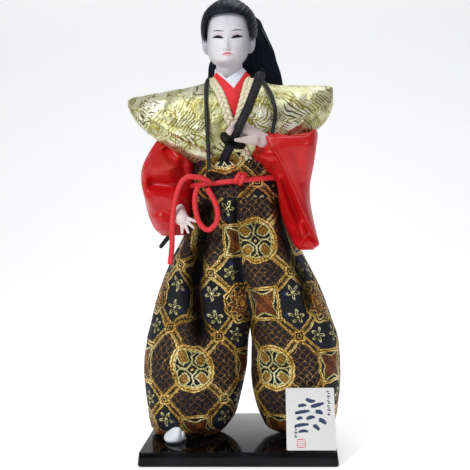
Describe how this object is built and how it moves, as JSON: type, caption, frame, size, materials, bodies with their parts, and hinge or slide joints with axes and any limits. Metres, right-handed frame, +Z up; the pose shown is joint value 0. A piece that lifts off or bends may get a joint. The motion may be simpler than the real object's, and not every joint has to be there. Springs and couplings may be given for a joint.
{
  "type": "samurai doll",
  "caption": "Samurai souvenir doll in brocade trousers, a winged gold vest and red kimono sleeves, holding a sword, on a glossy plinth with a leaning name plate.",
  "frame": {"origin": "middle of the plinth's underside", "axes": "+Z up, the doll faces -Y, +X is towards the doll's left hand"},
  "size_m": [0.1394, 0.1021, 0.3],
  "materials": {
    "base_gloss": "glossy black lacquer",
    "plate_card": "matt off-white card with a printed inscription",
    "sock_cloth": "bluish-white woven cotton",
    "trouser_brocade": "black and gold brocade with a slight metallic sheen",
    "vest_brocade": "pale gold metallic brocade",
    "braid": "twisted gold and cream braid",
    "white_cloth": "white satin",
    "red_cloth": "matt red cloth",
    "skin": "pale satin skin paint",
    "hair_fibre": "blue-black combed fibre",
    "red_satin": "shiny red satin",
    "hilt_wrap": "matt black with a wrapped relief",
    "guard_black": "glossy black",
    "scabbard_black": "satin black",
    "red_braid": "braided red cord",
    "black_braid": "braided black cord",
    "bead_black": "glossy black"
  },
  "bodies": {
    "root": {"base": "base_gloss", "name_plate": "plate_card", "right_foot": "sock_cloth", "left_foot": "sock_cloth", "hakama": "trouser_brocade", "kataginu": "vest_brocade", "right_trim": "braid", "left_trim": "braid", "white_collar": "white_cloth", "red_collar": "red_cloth", "head": "skin", "hair": "hair_fibre", "hair_tail": "hair_fibre", "right_sleeve": "red_satin", "left_sleeve": "red_satin", "right_hand": "skin", "left_hand": "skin", "sword_hilt": "hilt_wrap", "sword_guard": "guard_black", "scabbard": "scabbard_black", "belt_cord": "red_braid", "belt_knot": "red_braid", "belt_loop": "red_braid", "belt_tail": "red_braid", "neck_cord": "black_braid", "neck_cord_end": "black_braid", "cord_bead": "bead_black"}
  },
  "joints": []
}
